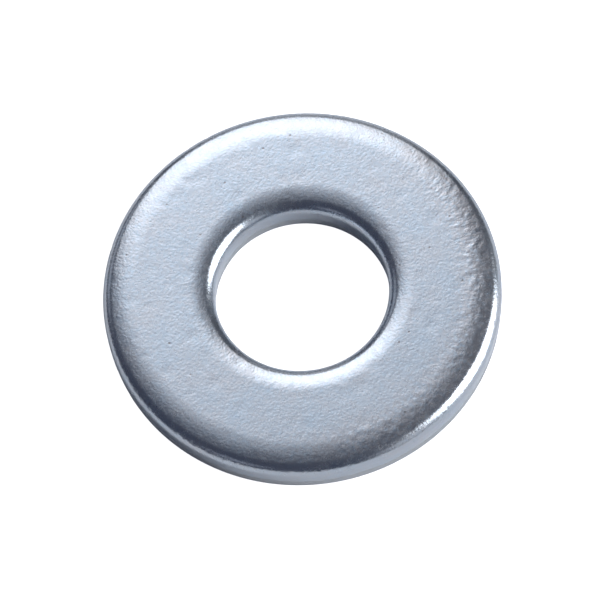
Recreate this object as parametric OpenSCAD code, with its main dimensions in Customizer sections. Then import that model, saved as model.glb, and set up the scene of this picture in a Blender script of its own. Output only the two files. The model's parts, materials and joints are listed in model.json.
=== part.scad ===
// Flat washer, blanked and pierced from steel sheet in one stroke, tumbled and zinc plated.
// The lower bearing face lies on z = 0 and the bolt hole runs along z. Sizes are in millimetres.

/* [Size] */
// Outside diameter, at the burnished land
outside_d = 16.1; // [14.5:0.01:20]
// Diameter of the bolt hole, at the burnished land
hole_d = 7.02; // [6:0.01:8.5]
// Thickness over the two bearing faces
thickness = 1.65; // [1.4:0.01:2]

/* [Die roll] */
// Radial width of the die roll on the outer rim
outer_roll_w = 1.35; // [0.9:0.05:1.4]
// Depth of the outer die roll below the upper face
outer_roll_h = 0.58; // [0.54:0.01:0.7]
// Radius of the shoulder where the outer die roll turns down into the wall
outer_shoulder_r = 0.5; // [0.3:0.01:0.5]
// Radial width of the die roll round the hole
hole_roll_w = 1.1; // [0.9:0.05:1.4]
// Depth of the hole's die roll below the upper face
hole_roll_h = 0.56; // [0.54:0.01:0.7]
// Radius of the shoulder where the hole's die roll turns down into the wall
hole_shoulder_r = 0.5; // [0.3:0.01:0.5]

/* [Walls and lower rims] */
// Share of the thickness that broke away below the burnished land
broken_share = 0.35; // [0.25:0.05:0.45]
// How far each wall leans back over its broken zone
broken_lean = 0.04; // [0.02:0.01:0.12]
// Radius that tumbling leaves on both lower rims
lower_r = 0.14; // [0.05:0.01:0.2]

/* [Hidden] */
$fn = 96;

outside_r = outside_d / 2;
hole_r = hole_d / 2;
web_w = outside_r - hole_r;

broken_z = thickness * broken_share;

// The lower rim's corner is blunter than a right angle by the lean of the broken zone.
lean_angle = atan2(broken_lean, broken_z);
lower_centre = [-broken_lean - lower_r * tan((90 - lean_angle) / 2), lower_r];
lower_meet = lower_centre + lower_r * [cos(lean_angle), -sin(lean_angle)];

// Everything above the burnished land: the die roll and the sheet behind it. A wide arc leaves
// the face and runs tangent into the shoulder arc. Its radius follows from the roll and shoulder.
module die_roll(reach, roll_w, roll_h, shoulder_r) {
    roll_z = thickness - roll_h;
    flat_w = roll_w - shoulder_r;
    wide_r = (pow(roll_h, 2) + pow(flat_w, 2) - pow(shoulder_r, 2)) / (2 * (roll_h - shoulder_r));
    wide_centre = [-roll_w, thickness - wide_r];
    shoulder_centre = [-shoulder_r, roll_z];
    arcs_meet = shoulder_centre + (shoulder_centre - wide_centre) * shoulder_r / (wide_r - shoulder_r);

    translate([-reach, roll_z])
        square([reach - roll_w, roll_h]);
    intersection() {
        translate(wide_centre)
            circle(r = wide_r);
        polygon([
            [-roll_w, roll_z],
            [-roll_w, thickness + roll_h],
            [arcs_meet[0], thickness + roll_h],
            arcs_meet,
            shoulder_centre
        ]);
    }
    translate(shoulder_centre)
        circle(r = shoulder_r);
}

// The land that the die sheared clean, standing on x = 0
module burnished_land(reach, roll_h) {
    translate([-reach, broken_z])
        square([reach, thickness - roll_h - broken_z]);
}

// Everything below the land: the wall leans back and ends in the tumbled lower rim
module broken_zone(reach) {
    polygon([
        [-reach, 0],
        [lower_centre[0], 0],
        lower_centre,
        lower_meet,
        [0, broken_z],
        [-reach, broken_z]
    ]);
    translate(lower_centre)
        circle(r = lower_r);
}

// Section through one sheared edge, with its material reaching back to x = -reach
module sheared_edge(reach, roll_w, roll_h, shoulder_r) {
    die_roll(reach, roll_w, roll_h, shoulder_r);
    burnished_land(reach, roll_h);
    broken_zone(reach);
}

// Half of the washer's cross-section. Both edges roll over at the top, because blank and hole
// were cut in the same stroke.
module cross_section() {
    translate([outside_r, 0])
        sheared_edge(web_w / 2, outer_roll_w, outer_roll_h, outer_shoulder_r);
    translate([hole_r, 0])
        mirror([1, 0])
            sheared_edge(web_w / 2, hole_roll_w, hole_roll_h, hole_shoulder_r);
}

module flat_washer() {
    color("#c3ccd6")
        rotate_extrude()
            cross_section();
}

flat_washer();
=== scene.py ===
"""A flat washer, stamped from steel sheet, tumbled and zinc plated, on a pale studio floor."""

import json
import math
import random

import bmesh
import bpy
from mathutils import Matrix, Vector, kdtree, noise


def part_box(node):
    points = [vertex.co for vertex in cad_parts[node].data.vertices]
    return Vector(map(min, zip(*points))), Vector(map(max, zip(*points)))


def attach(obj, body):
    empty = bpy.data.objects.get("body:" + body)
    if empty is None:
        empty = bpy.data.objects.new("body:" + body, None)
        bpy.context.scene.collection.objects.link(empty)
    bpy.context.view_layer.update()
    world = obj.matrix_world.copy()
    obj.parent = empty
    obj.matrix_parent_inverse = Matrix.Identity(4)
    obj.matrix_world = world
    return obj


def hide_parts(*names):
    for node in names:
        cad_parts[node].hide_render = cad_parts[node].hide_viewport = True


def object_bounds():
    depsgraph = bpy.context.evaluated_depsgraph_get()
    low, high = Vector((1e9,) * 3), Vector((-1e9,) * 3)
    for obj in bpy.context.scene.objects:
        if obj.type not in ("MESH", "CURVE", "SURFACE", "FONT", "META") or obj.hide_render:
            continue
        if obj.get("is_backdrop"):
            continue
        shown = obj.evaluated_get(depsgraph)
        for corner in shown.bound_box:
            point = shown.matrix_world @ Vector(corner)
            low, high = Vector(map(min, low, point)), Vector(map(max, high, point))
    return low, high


bl_info = {
    "name": "Flat washer",
    "version": (1, 0, 0),
    "blender": (4, 5, 0),
    "location": "3D View > Sidebar > Washer",
    "description": "Builds a stamped, zinc-plated flat washer and the studio that it is shown in",
    "category": "Add Mesh",
}

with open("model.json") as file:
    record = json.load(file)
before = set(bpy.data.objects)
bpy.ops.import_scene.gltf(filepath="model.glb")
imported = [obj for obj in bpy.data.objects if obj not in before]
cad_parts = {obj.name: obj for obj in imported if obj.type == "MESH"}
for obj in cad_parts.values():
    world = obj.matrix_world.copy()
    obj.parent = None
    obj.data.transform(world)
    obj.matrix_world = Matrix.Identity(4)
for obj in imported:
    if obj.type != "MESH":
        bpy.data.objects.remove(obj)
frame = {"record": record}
CAD_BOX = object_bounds()

MM = 0.001
MICRON = 0.001 * MM
NODE = "flat_washer"
RING = "flat_washer_ring"
SECTORS = 16
WELD = MICRON
ZONES = ("peeled", "burnished", "torn")

# How wide the lumps are in each pattern of the mesh's relief.
WAVE_WIDTH = 2.9 * MM
BORDER_WIDTHS = (1.1 * MM, 0.32 * MM)
PEEL_WIDTHS = (0.24 * MM, 0.18 * MM)
SCORE_WIDTH = 0.15 * MM
SCORE_STRETCH = 11
TEAR_WIDTHS = (0.31 * MM, 0.13 * MM)

# Over what width each zone fades into the next.
BORDER_FADE = 0.02 * MM
LAND_FADE = 0.06 * MM
PEEL_ONSET = (-0.9 * MM, 0.3 * MM)
PEEL_FADE = 0.25 * MM

# The outer rim was stretched most on the side where the die had its widest gap.
WIDEST_GAP = math.radians(-30)
LEAST_PEEL = 0.2
HOLE_PEEL = 0.25

# From what cosine to what cosine of the angle off the widest gap the peel grows to its full depth.
GAP_RISE = (0, 0.8)

# Between what shares of the lower rim's radius the broken zone sets in above it.
RIM_RISE = (0.4, 1.2)

# How much of the peel and of the tear is in the coarser of their two patterns.
COARSE_SHARE = 0.6

# The least and the most of what tumbling left. Depths are shares of the radius.
TUMBLING_SEED = 14
DENT_R = (0.15 * MM, 0.45 * MM)
DENT_DEPTH = (0.003, 0.012)
NICK_R = (0.08 * MM, 0.18 * MM)
NICK_DEPTH = 0.08
NICK_BELOW_FACE = (0.05 * MM, 0.45 * MM)


def mount(name):
    """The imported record's mount of that name."""
    return next(m for m in frame["record"]["mounts"] if m["name"] == name)


# The sizes that the frame gives: the node's box, and the bore, which is the burnished land.
LOW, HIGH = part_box(NODE)
BORE = mount("bolt_hole")
LAND_MIDDLE = BORE["pos_m"][2]
LAND_HALF = BORE["dims"]["length_mm"] * MM / 2


def linear(hex_colour):
    """A linear RGB colour from an sRGB one written as #rrggbb."""
    shares = [int(hex_colour[i : i + 2], 16) / 255 for i in (1, 3, 5)]
    return [s / 12.92 if s <= 0.04045 else ((s + 0.055) / 1.055) ** 2.4 for s in shares]


def length(name, description, default):
    """A setting in metres."""
    return bpy.props.FloatProperty(
        name=name,
        description=description,
        default=default,
        precision=5,
        subtype="DISTANCE",
        unit="LENGTH",
    )


def share(name, description, default):
    """A setting from 0 to 1."""
    return bpy.props.FloatProperty(
        name=name, description=description, default=default, min=0, max=1, subtype="FACTOR"
    )


def count(name, description, default):
    """A whole number of 1 or more."""
    return bpy.props.IntProperty(name=name, description=description, default=default, min=1)


def colour(name, description, hex_colour):
    """A colour setting, given as #rrggbb."""
    return bpy.props.FloatVectorProperty(
        name=name, description=description, default=linear(hex_colour), subtype="COLOR", min=0, max=1
    )


class WasherSizes(bpy.types.PropertyGroup):
    """Sizes of the ring and of the marks that stamping and tumbling left on it."""

    outside_r: length("Outside radius", "At the burnished land", HIGH[0])
    hole_r: length("Hole radius", "At the burnished land", BORE["dims"]["r_mm"] * MM)
    thickness: length("Thickness", "Over the two bearing faces", HIGH[2] - LOW[2])
    outer_roll_w: length("Outer roll width", "Die roll of the outer rim, along the face", 1.35 * MM)
    outer_roll_h: length("Outer roll depth", "Below the upper face", 0.58 * MM)
    outer_shoulder_r: length("Outer shoulder", "Radius where the roll turns down", 0.5 * MM)
    hole_roll_w: length("Hole roll width", "Die roll round the hole, along the face", 1.1 * MM)
    hole_roll_h: length("Hole roll depth", "Below the upper face", HIGH[2] - LAND_MIDDLE - LAND_HALF)
    hole_shoulder_r: length("Hole shoulder", "Radius where the roll turns down", 0.5 * MM)
    broken_h: length("Broken zone height", "Where the metal broke away", LAND_MIDDLE - LAND_HALF)
    broken_lean: length("Broken lean", "How far the broken zone leans back", 0.04 * MM)
    lower_r: length("Lower rim radius", "Left on the lower rims by tumbling", 0.14 * MM)
    around: count("Steps around", "Segments of the full turn", 720)
    step: length("Edge step", "Longest step of the cross-section round the rims", 0.07 * MM)
    face_step: length("Face step", "Longest step along the upper face", 0.12 * MM)
    lower_step: length("Lower step", "Longest step along the lower face", 0.3 * MM)
    wave: length("Wave", "Depth of the sheet's long waves", 0.004 * MM)
    peel: length("Orange peel", "Depth of the ripple that stretching left on the die rolls", 0.017 * MM)
    score: length("Scoring", "Depth of the lines that the die drew down the land", 0.004 * MM)
    tear: length("Tear", "Depth of the broken zone's rough surface", 0.02 * MM)
    border: length("Border", "How far the top of the broken zone strays up and down", 0.09 * MM)
    dents: count("Dents", "Shallow dents that tumbling left in the faces", 320)
    nicks: count("Nicks", "Small nicks that tumbling left in the upper rim", 40)


class WasherFinish(bpy.types.PropertyGroup):
    """Colours and gloss of the zinc plate, with some painted shade in the wall zinc."""

    cool: colour("Cool zinc", "Zinc with the blue of the passivation film", "#c0d0e0")
    warm: colour("Warm zinc", "Grains where the film is thinner", "#cecfd5")
    brown: colour("Rim zinc", "Plate that was burnt a little warmer on the rims", "#c9cad0")
    # Wall zinc: thin plate, and partly painted shade, a little darker as if the wall reflected the
    # shadowed floor.
    thin_plate_and_shade: colour("Wall zinc", "Thin plate on the broken zone", "#c0c4ca")
    # Pit colour: a darker grey painted into the pits.
    pit: colour("Pits", "Specks of dirt held in pits", "#a2a0a3")
    roughness: share("Roughness", "Of the tumbled faces", 0.26)
    unevenness: share("Unevenness", "How far the faces' roughness strays either way", 0.03)
    land_roughness: share("Land roughness", "Of the walls where the die burnished them", 0.2)
    torn_roughness: share("Broken roughness", "Of the walls where the metal broke away", 0.42)
    speckle: length("Speckle", "Width of the finest bumps", 0.1 * MM)
    grain: length("Grain", "Width of the grains of bluer and greyer zinc", 0.14 * MM)
    spot: length("Spot", "Width of the duller and glossier spots", 0.25 * MM)
    drift: length("Drift", "Width of the drifts that the grains gather in", 1.1 * MM)
    line_gap: length("Line spacing", "Between the lines across the outer rim", 0.15 * MM)
    line_run: length("Line length", "How far such a line runs before it fades", 0.28 * MM)
    facet: length("Facet", "Width of the torn steel's facets", 0.12 * MM)
    pit_gap: length("Pit spacing", "Between the places that may hold a pit", 0.6 * MM)
    pit_r: length("Pit radius", "Outside radius of a pit", 0.06 * MM)


class StudioSettings(bpy.types.PropertyGroup):
    """The camera's place, the floor and the light."""

    elevation: bpy.props.FloatProperty(
        name="Elevation",
        description="How high the camera stands over the floor",
        default=math.radians(64.9),
        subtype="ANGLE",
        unit="ROTATION",
    )
    roll: bpy.props.FloatProperty(
        name="Roll",
        description="How far the camera is turned about its own axis",
        default=math.radians(8.24),
        subtype="ANGLE",
        unit="ROTATION",
    )
    distance: length("Distance", "From the camera to the washer", 193.1 * MM)
    lens: bpy.props.FloatProperty(
        name="Lens", description="Focal length", default=286.0, subtype="DISTANCE_CAMERA"
    )
    floor: colour("Floor", "Pale seamless floor", "#f4f5f7")
    dark: colour("Dark side", "The unlit side of the studio", "#464a58")
    room: colour("Lit side", "The side of the studio that catches some light", "#4e5157")


# ---------------------------------------------------------------- shape of the ring


def run_to(bm, vert, x, z, step):
    """Extrudes a vertex straight to (x, z), in steps no longer than step. Returns the last one."""
    there = Vector((x, 0, z))
    steps = max(1, math.ceil((there - vert.co).length / step))
    move = (there - vert.co) / steps
    for _ in range(steps):
        vert = bmesh.ops.extrude_vert_indiv(bm, verts=[vert])["verts"][0]
        bmesh.ops.translate(bm, verts=[vert], vec=move)
    return vert


def turn(bm, vert, x, z, angle, step):
    """Spins a vertex about (x, z), by that angle from +Z towards +X. Returns the last one."""
    centre = Vector((x, 0, z))
    steps = max(3, math.ceil((vert.co - centre).length * abs(angle) / step))
    made = bmesh.ops.spin(bm, geom=[vert], cent=centre, axis=(0, 1, 0), angle=angle, steps=steps)
    return next(v for v in made["geom_last"] if isinstance(v, bmesh.types.BMVert))


def sheared_edge(bm, sizes, side, roll_w, roll_h, shoulder_r):
    """Draws half of the cross-section, over one rim. Side is 1 for the outer rim, -1 for the hole's."""
    middle = (sizes.outside_r + sizes.hole_r) / 2
    edge = sizes.outside_r if side > 0 else sizes.hole_r
    top, fine = sizes.thickness, sizes.step
    flat_w = roll_w - shoulder_r
    wide_r = (roll_h**2 + flat_w**2 - shoulder_r**2) / (2 * (roll_h - shoulder_r))
    wide_turn = math.atan2(flat_w, wide_r - roll_h)
    lean = math.atan2(sizes.broken_lean, sizes.broken_h)
    inset = sizes.broken_lean + sizes.lower_r * math.tan((math.pi / 2 - lean) / 2)
    lower_x = edge - side * inset

    vert = bm.verts.new((middle, 0, top))
    vert = run_to(bm, vert, edge - side * roll_w, top, sizes.face_step)
    vert = turn(bm, vert, edge - side * roll_w, top - wide_r, side * wide_turn, fine)
    shoulder_turn = math.pi / 2 - wide_turn
    vert = turn(bm, vert, edge - side * shoulder_r, top - roll_h, side * shoulder_turn, fine / 2)
    vert = run_to(bm, vert, edge, sizes.broken_h, fine)
    meet_x = lower_x + side * sizes.lower_r * math.cos(lean)
    vert = run_to(bm, vert, meet_x, sizes.lower_r * (1 - math.sin(lean)), fine)
    vert = turn(bm, vert, lower_x, sizes.lower_r, side * (math.pi / 2 - lean), fine)
    run_to(bm, vert, middle, 0, sizes.lower_step)


def put_in_order(bm):
    """Sorts the edges and faces by their vertices, because spin makes them in an order that varies."""
    bm.verts.index_update()
    many = len(bm.verts)

    def rank(element):
        first, second, *others = sorted(vert.index for vert in element.verts)
        third = others[0] if others else 0
        return (first * many + second) * many + third

    bm.edges.sort(key=rank)
    bm.faces.sort(key=rank)


def ring_of(sizes):
    """The plain ring: the cross-section over both rims, spun a full turn in two goes."""
    bm = bmesh.new()
    sheared_edge(bm, sizes, 1, sizes.outer_roll_w, sizes.outer_roll_h, sizes.outer_shoulder_r)
    sheared_edge(bm, sizes, -1, sizes.hole_roll_w, sizes.hole_roll_h, sizes.hole_shoulder_r)
    bmesh.ops.remove_doubles(bm, verts=bm.verts[:], dist=WELD)
    sector = 2 * math.pi / SECTORS
    section = bm.verts[:] + bm.edges[:]
    bmesh.ops.spin(bm, geom=section, axis=(0, 0, 1), angle=sector, steps=sizes.around // SECTORS)
    bmesh.ops.spin(
        bm,
        geom=bm.verts[:] + bm.edges[:] + bm.faces[:],
        axis=(0, 0, 1),
        angle=2 * math.pi - sector,
        steps=SECTORS - 1,
        use_duplicate=True,
    )
    bmesh.ops.remove_doubles(bm, verts=bm.verts[:], dist=WELD)
    bmesh.ops.recalc_face_normals(bm, faces=bm.faces[:])
    put_in_order(bm)
    return bm


def smooth(value, low, high):
    """0 below low, 1 above high, and a smooth rise between."""
    t = min(1, max(0, (value - low) / (high - low)))
    return t * t * (3 - 2 * t)


def ripple(place, width, layer=0):
    """Smooth seeded noise from 0 to 1, in lumps about that wide. Each layer is another noise."""
    return 0.5 + 0.5 * noise.noise(place / width + Vector((0, 0, layer)))


def wear_of(sizes, place):
    """How deep the metal lies below the plain ring at a place, and how far each zone reaches there."""
    reach = math.hypot(place.x, place.y)
    outer = reach > (sizes.outside_r + sizes.hole_r) / 2
    if outer:
        land_top = sizes.thickness - sizes.outer_roll_h
        onto_roll = reach - (sizes.outside_r - sizes.outer_roll_w)
        shoulder = sizes.outer_roll_w - sizes.outer_shoulder_r
    else:
        land_top = sizes.thickness - sizes.hole_roll_h
        onto_roll = sizes.hole_r + sizes.hole_roll_w - reach
        shoulder = sizes.hole_roll_w - sizes.hole_shoulder_r

    # The border between the land and the broken zone strays with the grain of the sheet.
    level = Vector((place.x, place.y, 0))
    wide, narrow = (ripple(level, width, width / MM) for width in BORDER_WIDTHS)
    border = sizes.broken_h + sizes.border * (wide - 0.5 + 0.5 * (narrow - 0.5))
    above_border = smooth(place.z, border - BORDER_FADE, border + BORDER_FADE)
    above_land = smooth(place.z, land_top - LAND_FADE, land_top + LAND_FADE)
    above_rim = smooth(place.z, *(rise * sizes.lower_r for rise in RIM_RISE))
    burnished = above_border * (1 - above_land)
    torn = above_rim * (1 - above_border)

    # Stretching roughened the die rolls, from inside their start to just past the shoulder.
    peeled = 0
    if place.z > land_top:
        gap = math.cos(math.atan2(place.y, place.x) - WIDEST_GAP)
        stretch = LEAST_PEEL + (1 - LEAST_PEEL) * smooth(gap, *GAP_RISE) if outer else HOLE_PEEL
        peeled = stretch * smooth(onto_roll, *PEEL_ONSET)
        peeled *= 1 - smooth(onto_roll, shoulder, shoulder + PEEL_FADE)

    drawn_down = Vector((place.x, place.y, place.z / SCORE_STRETCH))
    coarse_peel, fine_peel = (ripple(place, width) for width in PEEL_WIDTHS)
    coarse_tear, fine_tear = (ripple(place, width) for width in TEAR_WIDTHS)
    depth = sizes.wave * ripple(place, WAVE_WIDTH)
    depth += sizes.peel * peeled * (COARSE_SHARE * coarse_peel + (1 - COARSE_SHARE) * fine_peel)
    depth += sizes.score * burnished * ripple(drawn_down, SCORE_WIDTH)
    depth += sizes.tear * torn * (COARSE_SHARE * coarse_tear + (1 - COARSE_SHARE) * fine_tear)

    # The plain ring leans back from an even border, so it is sunk to lean from the straying one.
    if 0 < place.z < max(border, sizes.broken_h):
        has_leant = sizes.broken_lean * max(0, 1 - place.z / sizes.broken_h)
        should_lean = sizes.broken_lean * max(0, 1 - place.z / border)
        depth += above_rim * max(0, should_lean - has_leant)
    return depth, {"peeled": peeled, "burnished": burnished, "torn": torn}


def dents_of(sizes):
    """The places, radii and depths of the dents in both faces and of the nicks in the upper rim."""
    chance = random.Random(TUMBLING_SEED)
    for _ in range(sizes.dents):
        reach = math.sqrt(chance.uniform(sizes.hole_r**2, sizes.outside_r**2))
        z = chance.choice((0, sizes.thickness, sizes.thickness))
        radius = chance.uniform(*DENT_R)
        angle = chance.uniform(0, 2 * math.pi)
        yield reach, angle, z, radius, radius * chance.uniform(*DENT_DEPTH)
    for _ in range(sizes.nicks):
        z = sizes.thickness - chance.uniform(*NICK_BELOW_FACE)
        radius = chance.uniform(*NICK_R)
        angle = chance.uniform(0, 2 * math.pi)
        yield sizes.outside_r, angle, z, radius, radius * NICK_DEPTH


def weather(bm, sizes):
    """Sinks the vertices along their normals, and keeps each zone's share as a vertex attribute."""
    bm.normal_update()
    layers = {name: bm.verts.layers.float.new(name) for name in ZONES}
    tree = kdtree.KDTree(len(bm.verts))
    depths = []
    for index, vert in enumerate(bm.verts):
        tree.insert(vert.co, index)
        depth, shares = wear_of(sizes, vert.co)
        depths.append(depth)
        for name, value in shares.items():
            vert[layers[name]] = value
    tree.balance()
    for reach, angle, z, radius, dent_depth in dents_of(sizes):
        touched = tree.find((reach * math.cos(angle), reach * math.sin(angle), z))[0]
        for _, index, gap in tree.find_range(touched, radius):
            depths[index] += dent_depth * (1 - (gap / radius) ** 2) ** 2
    for vert, depth in zip(bm.verts, depths):
        vert.co -= vert.normal * depth


class FLATWASHER_OT_ring(bpy.types.Operator):
    """Make the washer: a rolled, sheared and tumbled ring in zinc plate"""

    bl_idname = "flatwasher.ring"
    bl_label = "Washer ring"

    def execute(self, context):
        sizes = context.scene.washer_sizes
        bm = ring_of(sizes)
        weather(bm, sizes)
        mesh = bpy.data.meshes.new(RING)
        bm.to_mesh(mesh)
        bm.free()
        mesh.shade_smooth()
        mesh.materials.append(zinc_plated_steel(context.scene.washer_finish))
        ring = bpy.data.objects.new(RING, mesh)
        context.collection.objects.link(ring)
        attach(ring, "root")
        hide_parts(NODE)
        return {"FINISHED"}


# ---------------------------------------------------------------- materials


def add(tree, kind, inputs=None, output=None, **settings):
    """Adds a node with its settings, and links or sets the inputs that are named or numbered.

    Returns the output that is named or numbered, or the node itself if none is.
    """
    node = tree.nodes.new("ShaderNode" + kind)
    for name, value in settings.items():
        setattr(node, name, value)
    for name, value in (inputs or {}).items():
        if isinstance(value, bpy.types.NodeSocket):
            tree.links.new(value, node.inputs[name])
        else:
            node.inputs[name].default_value = value
    return node if output is None else node.outputs[output]


def new_material(name):
    """An empty material and its shader tree."""
    material = bpy.data.materials.new(name)
    material.use_nodes = True
    material.node_tree.nodes.clear()
    return material, material.node_tree


# How high the relief stands that is too fine for the mesh, in thousandths of a millimetre.
SPECKLE_HEIGHT = 6
PEEL_LINE_HEIGHT = 8
LAND_LINE_HEIGHT = 3
FACET_HEIGHT = 22
PIT_HEIGHT = -3

# The share of the cells left without a pit, and how much of a pit's radius its dark core takes up.
WITHOUT_PIT = 0.55
PIT_CORE = 0.4

# The part of each noise's range that is spread over a whole blend. Little of a noise lies outside.
PATCH_RANGE = (0.2, 0.8)
BURNT_RANGE = (0.3, 0.6)
SPOT_RANGE = (0.3, 0.7)


def zinc_plated_steel(finish):
    """Barrel-plated zinc over tumbled steel: a satin of fine grains, some blue and some grey.

    Real zinc grains are about 0.01 mm wide, and the die's lines and the torn steel's facets about
    0.03 mm. All are too fine to show, so each is drawn as coarse as it needs to show.
    """
    material, tree = new_material("zinc_plated_steel")
    place = add(tree, "TexCoord", output="Object")
    peeled, burnished, torn = (
        add(tree, "Attribute", output="Fac", attribute_name=name) for name in ZONES
    )

    # Lines that run across the rims: the noise is wound round the ring and drawn out across it.
    level = add(tree, "VectorMath", {0: place, 1: (1, 1, 0)}, "Vector", operation="MULTIPLY")
    reach = add(tree, "VectorMath", {0: level}, "Value", operation="LENGTH")
    height = add(tree, "SeparateXYZ", {"Vector": place}, "Z")
    inward = add(tree, "Math", {0: reach, 1: height}, 0, operation="ADD")
    across = add(tree, "Math", {0: inward, 1: finish.line_run}, 0, operation="DIVIDE")
    lines_round = HIGH[0] / finish.line_gap
    wound = add(tree, "VectorMath", {
        0: add(tree, "VectorMath", {0: level}, "Vector", operation="NORMALIZE"),
        1: (lines_round, lines_round, lines_round),
        2: add(tree, "CombineXYZ", {"Z": across}, "Vector"),
    }, "Vector", operation="MULTIPLY_ADD")
    lines = add(tree, "TexNoise", {"Vector": wound, "Scale": 1, "Detail": 2}, "Fac")

    # Tone: grains of bluer and greyer zinc, gathered in larger drifts, a little warmer on the rims.
    grain = add(tree, "TexNoise", {"Vector": place, "Scale": 1 / finish.grain, "Detail": 2}, "Fac")
    drift = add(tree, "TexNoise", {"Vector": place, "Scale": 1 / finish.drift, "Detail": 2}, "Fac")
    patches = add(tree, "Mix", {0: 0.5, 2: drift, 3: grain}, 0)
    warmth = add(tree, "MapRange", {
        "Value": patches, "From Min": PATCH_RANGE[0], "From Max": PATCH_RANGE[1],
    }, "Result")
    burnt = add(tree, "MapRange", {
        "Value": grain,
        "From Min": BURNT_RANGE[0],
        "From Max": BURNT_RANGE[1],
        "To Min": 0,
        "To Max": peeled,
    }, "Result")
    tone = add(tree, "Mix", {0: warmth, 6: (*finish.cool, 1), 7: (*finish.warm, 1)}, 2, data_type="RGBA")
    tone = add(tree, "Mix", {0: burnt, 6: tone, 7: (*finish.brown, 1)}, 2, data_type="RGBA")
    # The broken zone takes the wall zinc: thinner plate, and partly painted shade for the shadowed floor
    # that the walls reflect.
    tone = add(tree, "Mix", {0: torn, 6: tone, 7: (*finish.thin_plate_and_shade, 1)}, 2, data_type="RGBA")

    # Pits: a darker grey speck painted in some of the cells, over a hollow sunk in the relief below.
    cells = add(tree, "TexVoronoi", {"Vector": place, "Scale": 1 / finish.pit_gap})
    cell_number = add(tree, "SeparateColor", {"Color": cells.outputs["Color"]}, "Red")
    chosen = add(tree, "Math", {0: cell_number, 1: WITHOUT_PIT}, 0, operation="GREATER_THAN")
    pit_reach = finish.pit_r / finish.pit_gap
    pits = add(tree, "MapRange", {
        "Value": cells.outputs["Distance"],
        "From Min": PIT_CORE * pit_reach,
        "From Max": pit_reach,
        "To Min": chosen,
        "To Max": 0,
    }, "Result")
    tone = add(tree, "Mix", {0: pits, 6: tone, 7: (*finish.pit, 1)}, 2, data_type="RGBA")

    # Gloss: the land was burnished, the broken zone stayed rough, the faces vary from spot to spot.
    spots = add(tree, "TexNoise", {"Vector": place, "Scale": 1 / finish.spot, "Detail": 2}, "Fac")
    gloss = add(tree, "MapRange", {
        "Value": spots,
        "From Min": SPOT_RANGE[0],
        "From Max": SPOT_RANGE[1],
        "To Min": finish.roughness - finish.unevenness,
        "To Max": finish.roughness + finish.unevenness,
    }, "Result")
    gloss = add(tree, "Mix", {0: burnished, 2: gloss, 3: finish.land_roughness}, 0)
    gloss = add(tree, "Mix", {0: torn, 2: gloss, 3: finish.torn_roughness}, 0)

    # Relief: a speckle all over, lines on the rolls and the land, facets on the broken zone.
    speckle = add(tree, "TexNoise", {"Vector": place, "Scale": 1 / finish.speckle, "Detail": 3}, "Fac")
    facets = add(tree, "TexNoise", {"Vector": place, "Scale": 1 / finish.facet, "Detail": 4}, "Fac")
    relief = add(tree, "Math", {0: speckle, 1: SPECKLE_HEIGHT}, 0, operation="MULTIPLY")
    for zone, pattern, rise in (
        (peeled, lines, PEEL_LINE_HEIGHT),
        (burnished, lines, LAND_LINE_HEIGHT),
        (torn, facets, FACET_HEIGHT),
        (pits, 1, PIT_HEIGHT),
    ):
        there = add(tree, "Math", {0: zone, 1: pattern}, 0, operation="MULTIPLY")
        relief = add(tree, "Math", {0: there, 1: rise, 2: relief}, 0, operation="MULTIPLY_ADD")

    shader = add(tree, "BsdfPrincipled", {
        "Base Color": tone,
        "Metallic": 1,
        "Roughness": gloss,
        "Normal": add(tree, "Bump", {"Height": relief, "Distance": MICRON}, "Normal"),
    }, "BSDF")
    add(tree, "OutputMaterial", {"Surface": shader})
    return material


# ---------------------------------------------------------------- studio

LIGHT_DISTANCE = 0.6
FLOOR_HALF = 2.0
FLOOR_ROUGHNESS = 0.8
CAMERA_AIM = Vector((-0.126, 0.18, 0)) * MM
SENSOR_WIDTH = 36
NEAREST_SEEN = 1 * MM
FARTHEST_SEEN = 10

# The side on which the studio is a little brighter, and how far across the room that begins.
LIT_SIDE = (0.94, 0.34, 0)
LIT_FROM = 0.3

# Name, azimuth and elevation, half width and half height as seen from the washer, radiance, tint.
SOFTBOXES = (
    ("softbox_back", 0, 46, 19, 11, 0.98, (1.0, 0.93, 0.88)),
    ("softbox_back_spill", -5, 49.5, 15, 16, 0.93, (0.9, 0.95, 1.0)),
    ("softbox_back_top", -5, 61, 15, 21, 0.42, (0.9, 0.95, 1.0)),
    ("softbox_right", 100, 29, 21, 29, 5.6, (1.0, 1.0, 1.0)),
    ("backdrop_glow", 6, 15, 22, 14, 0.35, (1.0, 0.98, 0.97)),
    ("glow_front_right", 140, 20, 17, 17, 0.45, (0.95, 0.97, 1.0)),
    ("glow_front_left", -140, 25, 12, 7, 0.34, (0.9, 0.92, 1.0)),
    ("glow_back_left", -45, 25, 16, 10, 0.42, (0.92, 0.96, 1.0)),
)


def pale_floor(studio):
    """Matt white vinyl. To the camera alone it also glows a little, which lightens the shadow."""
    material, tree = new_material("pale_floor")
    shader = add(tree, "BsdfPrincipled", {
        "Base Color": (*studio.floor, 1),
        "Roughness": FLOOR_ROUGHNESS,
        "Specular IOR Level": 0,
        "Emission Color": (1, 1, 1, 1),
        "Emission Strength": add(tree, "LightPath", output="Is Camera Ray"),
    }, "BSDF")
    add(tree, "OutputMaterial", {"Surface": shader})
    return material


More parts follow.
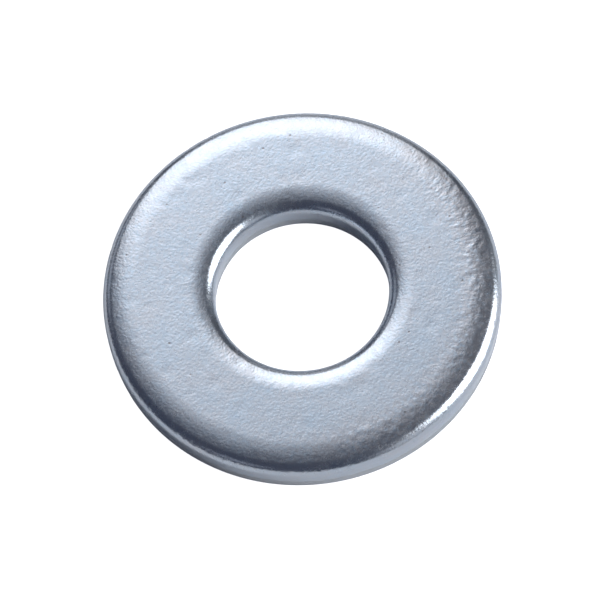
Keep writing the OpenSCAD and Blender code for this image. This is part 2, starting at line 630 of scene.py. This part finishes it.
def studio_world(studio):
    """The room's own dim light, a little brighter to the right. The camera sees a white backdrop."""
    world = bpy.data.worlds.new("studio")
    world.use_nodes = True
    tree = world.node_tree
    tree.nodes.clear()
    direction = add(tree, "TexCoord", output="Generated")
    toward = add(tree, "VectorMath", {0: direction, 1: LIT_SIDE}, "Value", operation="DOT_PRODUCT")
    rise = add(tree, "MapRange", {"Value": toward, "From Min": 2 * LIT_FROM - 1, "From Max": 1}, "Result")
    room = add(tree, "Mix", {0: rise, 6: (*studio.dark, 1), 7: (*studio.room, 1)}, 2, data_type="RGBA")
    seen = add(tree, "MixShader", {
        0: add(tree, "LightPath", output="Is Camera Ray"),
        1: add(tree, "Background", {"Color": room}, "Background"),
        2: add(tree, "Background", {"Color": (1, 1, 1, 1)}, "Background"),
    }, "Shader")
    add(tree, "OutputWorld", {"Surface": seen})
    return world


def softbox(name, azimuth, elevation, half_width, half_height, radiance, tint):
    """An oval light that faces the washer. Angles are in degrees, azimuth from +Y to +X."""
    width = 2 * LIGHT_DISTANCE * math.tan(math.radians(half_width))
    height = 2 * LIGHT_DISTANCE * math.tan(math.radians(half_height))
    area = math.pi / 4 * width * height
    data = bpy.data.lights.new(name, "AREA")
    data.shape = "ELLIPSE"
    data.size = width
    data.size_y = height
    data.energy = math.pi * radiance * area
    data.color = tint
    light = bpy.data.objects.new(name, data)
    turned = Matrix.Rotation(-math.radians(azimuth), 4, "Z")
    raised = Matrix.Rotation(math.radians(90 + elevation), 4, "X")
    about = Matrix.Rotation(math.pi, 4, "Y")
    light.matrix_world = turned @ raised @ about @ Matrix.Translation((0, 0, LIGHT_DISTANCE))
    light.visible_camera = False
    return light


def studio_camera(studio):
    """Looks down on the washer from the front, as the settings say."""
    data = bpy.data.cameras.new("camera")
    data.lens = studio.lens
    data.sensor_width = SENSOR_WIDTH
    data.clip_start = NEAREST_SEEN
    data.clip_end = FARTHEST_SEEN
    camera = bpy.data.objects.new("camera", data)
    tilt = Matrix.Rotation(math.pi / 2 - studio.elevation, 4, "X")
    back = Matrix.Translation((0, 0, studio.distance))
    spin = Matrix.Rotation(-studio.roll, 4, "Z")
    camera.matrix_world = Matrix.Translation(CAMERA_AIM) @ tilt @ back @ spin
    return camera


class FLATWASHER_OT_stage(bpy.types.Operator):
    """Set up the pale floor, the soft light and the camera"""

    bl_idname = "flatwasher.stage"
    bl_label = "Studio"

    def execute(self, context):
        scene = context.scene
        studio = scene.washer_studio
        scene.view_settings.view_transform = "Standard"
        scene.world = studio_world(studio)
        bm = bmesh.new()
        bmesh.ops.create_grid(bm, x_segments=1, y_segments=1, size=FLOOR_HALF)
        mesh = bpy.data.meshes.new("floor")
        bm.to_mesh(mesh)
        bm.free()
        mesh.materials.append(pale_floor(studio))
        floor = bpy.data.objects.new("floor", mesh)
        scene.collection.objects.link(floor)
        floor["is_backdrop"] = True
        for row in SOFTBOXES:
            scene.collection.objects.link(softbox(*row))
        camera = studio_camera(studio)
        scene.collection.objects.link(camera)
        scene.camera = camera
        return {"FINISHED"}


# ---------------------------------------------------------------- add-on


class FLATWASHER_PT_panel(bpy.types.Panel):
    """Lists the washer's operators and settings"""

    bl_idname = "FLATWASHER_PT_panel"
    bl_label = "Flat washer"
    bl_space_type = "VIEW_3D"
    bl_region_type = "UI"
    bl_category = "Washer"

    def draw(self, context):
        for group, kind in GROUPS.items():
            box = self.layout.box()
            for name in kind.__annotations__:
                box.prop(getattr(context.scene, group), name)
        for operator in OPERATORS:
            self.layout.operator(operator.bl_idname)


GROUPS = {
    "washer_sizes": WasherSizes,
    "washer_finish": WasherFinish,
    "washer_studio": StudioSettings,
}
OPERATORS = (FLATWASHER_OT_ring, FLATWASHER_OT_stage)
CLASSES = (*GROUPS.values(), *OPERATORS, FLATWASHER_PT_panel)


def register():
    for cls in CLASSES:
        bpy.utils.register_class(cls)
    for name, group in GROUPS.items():
        setattr(bpy.types.Scene, name, bpy.props.PointerProperty(type=group))


def unregister():
    for name in GROUPS:
        delattr(bpy.types.Scene, name)
    for cls in reversed(CLASSES):
        bpy.utils.unregister_class(cls)


def main():
    """Builds the washer and its studio."""
    register()
    bpy.ops.flatwasher.ring()
    bpy.ops.flatwasher.stage()
    boxes = {"cad": CAD_BOX, "visual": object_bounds()}
    boxes = {name: [list(corner) for corner in box] for name, box in boxes.items()}


if __name__ == "__main__":
    main()
